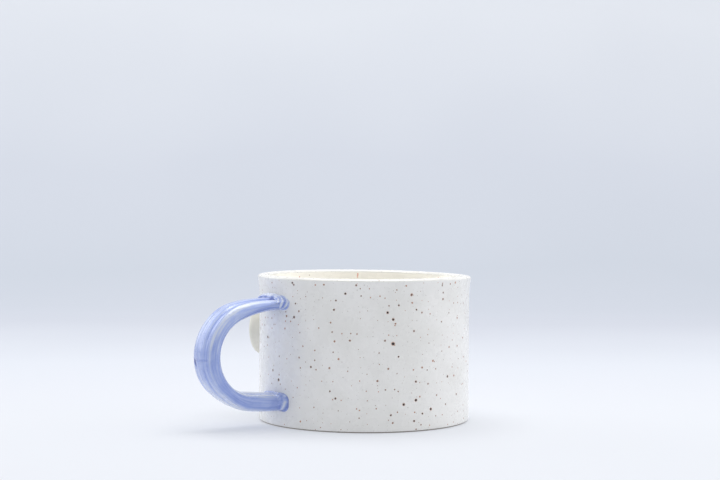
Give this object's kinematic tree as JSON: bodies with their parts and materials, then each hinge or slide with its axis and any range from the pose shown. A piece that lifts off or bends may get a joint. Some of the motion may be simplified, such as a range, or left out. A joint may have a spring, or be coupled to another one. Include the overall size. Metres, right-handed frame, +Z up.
{
  "type": "ceramic mug",
  "caption": "Wide, low hand-built mug with upright walls, a speckled pale glaze, a cream liner, a ribbed blue strap handle and a round cream relief disc.",
  "frame": {"origin": "centre of the foot's underside, on the mug's own axis, where it stands on a table", "axes": "+Z up along the mug's axis, out of its mouth; the handle reaches out along -X; +Y completes the right-handed frame"},
  "size_m": [0.1326, 0.0964, 0.066],
  "materials": {
    "stoneware_clay": "matte",
    "speckled_glaze": "satin",
    "cream_liner": "satin",
    "blue_glaze": "gloss",
    "cream_relief": "matte"
  },
  "bodies": {
    "root": {"base_slab": "stoneware_clay", "wall_slab": "stoneware_clay", "base_seam_coil": "stoneware_clay", "handle_strap": "stoneware_clay", "handle_upper_joint": "blue_glaze", "handle_lower_joint": "blue_glaze", "relief_disc": "cream_relief", "outer_glaze": "speckled_glaze", "liner_glaze": "cream_liner", "handle_glaze": "blue_glaze"}
  },
  "joints": []
}
